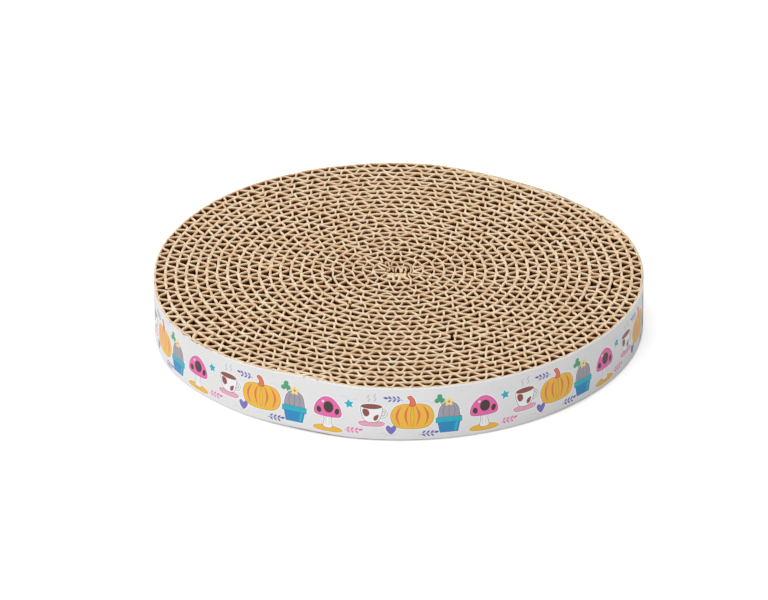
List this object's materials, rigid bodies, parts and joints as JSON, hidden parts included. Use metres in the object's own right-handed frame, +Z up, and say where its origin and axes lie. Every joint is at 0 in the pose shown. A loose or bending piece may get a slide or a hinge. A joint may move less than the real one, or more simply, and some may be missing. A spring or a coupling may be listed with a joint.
{
  "type": "cat scratcher",
  "caption": "Round flat cat scratching pad: single-face corrugated cardboard wound into a coil with the flutes' open ends up, wrapped in a printed paper band.",
  "frame": {"origin": "middle of the base, on the plane that the pad rests on, at the centre of its bounding box", "axes": "+Z up through the scratching face. +X to the right and +Y away from the viewer of the picture. The coil's outer end is at 33 degrees from +X towards +Y."},
  "size_m": [0.2353, 0.2332, 0.028],
  "materials": {
    "liner": "matt kraft liner with pale cut edges",
    "fluting": "matt kraft fluting with pale cut edges",
    "band": "smooth white paper, slightly glossy, printed in bright flat colours"
  },
  "bodies": {
    "root": {"liner_strip_1": "liner", "liner_strip_2": "liner", "liner_strip_3": "liner", "liner_strip_4": "liner", "liner_strip_5": "liner", "liner_strip_6": "liner", "liner_strip_7": "liner", "liner_strip_8": "liner", "fluting_strip_1": "fluting", "fluting_strip_2": "fluting", "fluting_strip_3": "fluting", "fluting_strip_4": "fluting", "fluting_strip_5": "fluting", "fluting_strip_6": "fluting", "fluting_strip_7": "fluting", "fluting_strip_8": "fluting", "printed_band": "band"}
  },
  "joints": []
}
